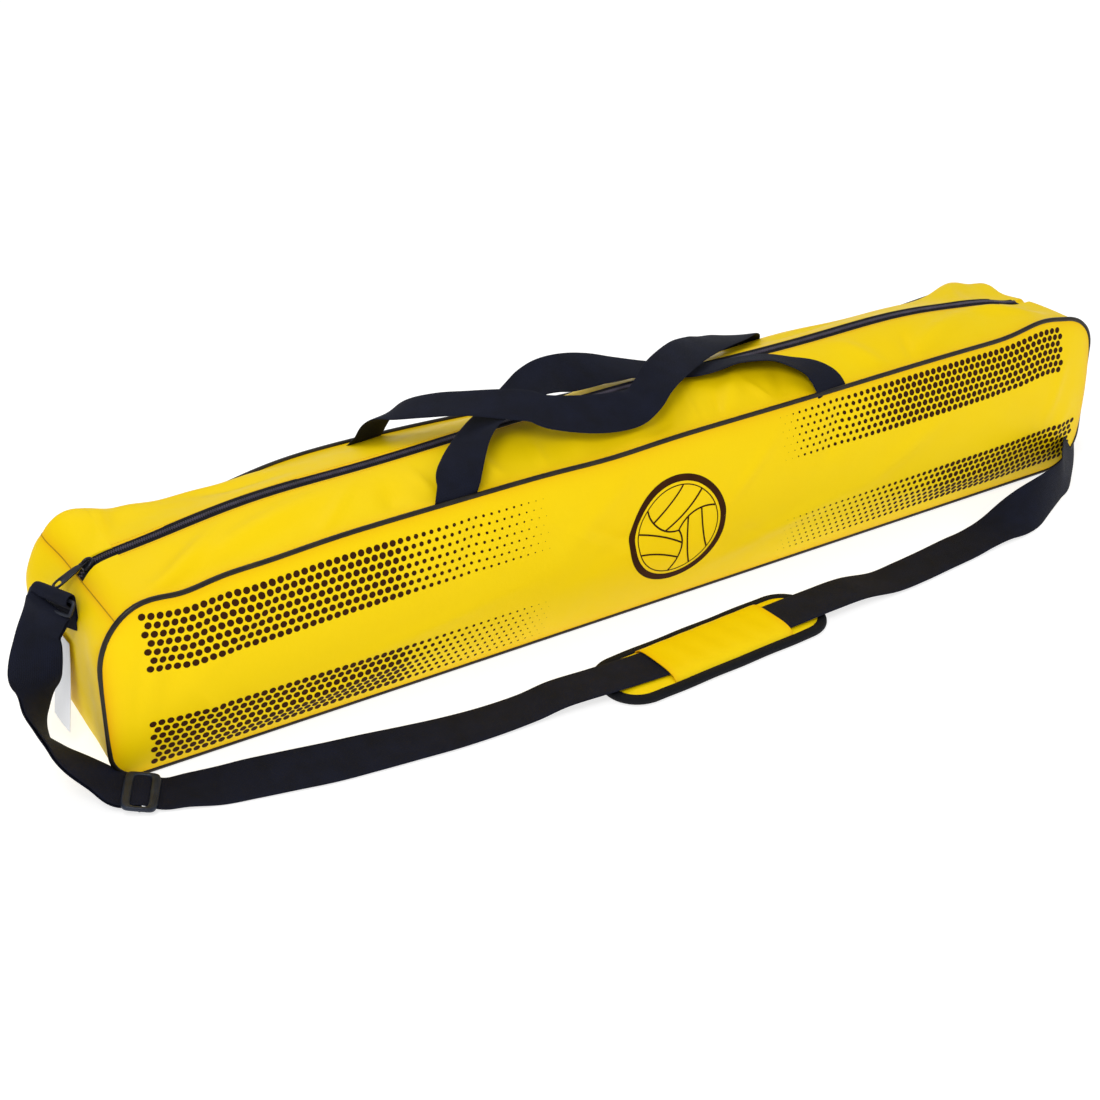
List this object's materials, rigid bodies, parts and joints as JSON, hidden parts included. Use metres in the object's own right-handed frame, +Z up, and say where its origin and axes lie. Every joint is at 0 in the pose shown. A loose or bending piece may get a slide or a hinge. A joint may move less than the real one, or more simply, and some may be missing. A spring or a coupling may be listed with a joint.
{
  "type": "volleyball net and pole carry bag",
  "caption": "Long soft carry bag for a volleyball net and telescopic poles, with crossed carry handles, a full-length top zip and a padded shoulder strap on rings.",
  "frame": {"origin": "on the flat bottom of the bag, under the middle of its length and depth", "axes": "+X along the bag to the end away from the strap adjuster, -Y out of the front panel, +Z up"},
  "size_m": [1.3687, 0.3414, 0.2641],
  "materials": {
    "yellow_tarpaulin": "smooth PVC-coated tarpaulin, satin",
    "black_piping": "smooth round piping, satin",
    "black_zip_tape": "woven zip tape with nylon coil, matt",
    "black_zip_metal": "black enamel, satin",
    "navy_webbing": "woven webbing, matt",
    "black_ring_metal": "black coated wire, satin",
    "black_plastic": "moulded plastic, satin",
    "white_card": "plain card, matt",
    "pole_aluminium": "drawn tube, satin",
    "black_netting": "knotted twine, matt",
    "peg_steel": "zinc-plated rod, satin"
  },
  "bodies": {
    "bag": {"front_panel": "yellow_tarpaulin", "back_panel": "yellow_tarpaulin", "front_piping": "black_piping", "back_piping": "black_piping", "bottom_gusset": "yellow_tarpaulin", "left_end_gusset": "yellow_tarpaulin", "right_end_gusset": "yellow_tarpaulin", "top_left_end": "yellow_tarpaulin", "top_right_end": "yellow_tarpaulin", "zip_tail_left": "black_zip_tape", "zip_tail_right": "black_zip_tape", "front_pole_outer_tube": "pole_aluminium", "front_pole_middle_tube": "pole_aluminium", "front_pole_inner_tube": "pole_aluminium", "front_pole_lower_collar": "black_plastic", "front_pole_upper_collar": "black_plastic", "front_pole_foot": "black_plastic", "front_pole_cap": "black_plastic", "back_pole_outer_tube": "pole_aluminium", "back_pole_middle_tube": "pole_aluminium", "back_pole_inner_tube": "pole_aluminium", "back_pole_lower_collar": "black_plastic", "back_pole_upper_collar": "black_plastic", "back_pole_foot": "black_plastic", "back_pole_cap": "black_plastic", "net_roll": "black_netting", "net_tie_1": "navy_webbing", "net_tie_2": "navy_webbing", "net_tie_3": "navy_webbing", "ground_peg_1": "peg_steel", "ground_peg_2": "peg_steel", "ground_peg_3": "peg_steel", "ground_peg_4": "peg_steel"},
    "front_flap": {"top_front_band": "yellow_tarpaulin", "zip_front": "black_zip_tape"},
    "back_flap": {"top_back_band": "yellow_tarpaulin", "zip_back": "black_zip_tape"},
    "front_handle": {"front_handle": "navy_webbing"},
    "back_handle": {"back_handle": "navy_webbing"},
    "zip_slider": {"zip_slider": "black_zip_metal"},
    "zip_pull": {"zip_pull": "black_zip_metal"},
    "shoulder_strap": {"shoulder_strap": "navy_webbing", "strap_adjuster": "black_plastic", "left_ring": "black_ring_metal", "right_ring": "black_ring_metal", "left_ring_tab": "navy_webbing", "right_ring_tab": "navy_webbing"},
    "shoulder_pad": {"shoulder_pad": "yellow_tarpaulin", "pad_binding": "navy_webbing", "pad_sleeve": "yellow_tarpaulin"},
    "hang_tag": {"hang_tag": "white_card"}
  },
  "joints": [
    {"name": "back_handle_swing", "type": "hinge", "parent": "bag", "child": "back_handle", "pos_m": [0, 0.0905, 0.2005], "axis": [-1, 0, 0], "range_deg": [0, 190]},
    {"name": "front_handle_swing", "type": "hinge", "parent": "bag", "child": "front_handle", "pos_m": [0, -0.0905, 0.2005], "axis": [1, 0, 0], "range_deg": [0, 101]},
    {"name": "back_flap_open", "type": "hinge", "parent": "bag", "child": "back_flap", "pos_m": [0, 0.0833, 0.19805], "axis": [-1, 0, 0], "range_deg": [0, 95]},
    {"name": "front_flap_open", "type": "hinge", "parent": "bag", "child": "front_flap", "pos_m": [0, -0.0833, 0.19805], "axis": [1, 0, 0], "range_deg": [0, 95]},
    {"name": "zip_travel", "type": "hinge", "parent": "bag", "child": "zip_slider", "pos_m": [0, 0, -6.28652], "axis": [0, 1, 0], "range_deg": [0, 10.19]},
    {"name": "zip_pull_flip", "type": "hinge", "parent": "zip_slider", "child": "zip_pull", "pos_m": [-0.59521, 0, 0.19794], "axis": [0, 1, 0], "range_deg": [0, 180]},
    {"name": "shoulder_strap_swing", "type": "hinge", "parent": "bag", "child": "shoulder_strap", "pos_m": [0, -0.01, 0.164], "axis": [-1, 0, 0], "range_deg": [0, 135]},
    {"name": "shoulder_pad_slide", "type": "slide", "parent": "shoulder_strap", "child": "shoulder_pad", "axis": [1, 0, 0], "range_m": [-0.05, 0.05]},
    {"name": "hang_tag_swing", "type": "hinge", "parent": "bag", "child": "hang_tag", "pos_m": [-0.62335, 0, 0.1185], "axis": [0, 1, 0], "range_deg": [0, 8]}
  ],
  "couplings": [
    {"joint": "front_handle_swing", "follows": "back_handle_swing", "ratio": 0.53},
    {"joint": "back_flap_open", "follows": "back_handle_swing", "ratio": 0.495},
    {"joint": "front_flap_open", "follows": "back_handle_swing", "ratio": 0.495}
  ]
}
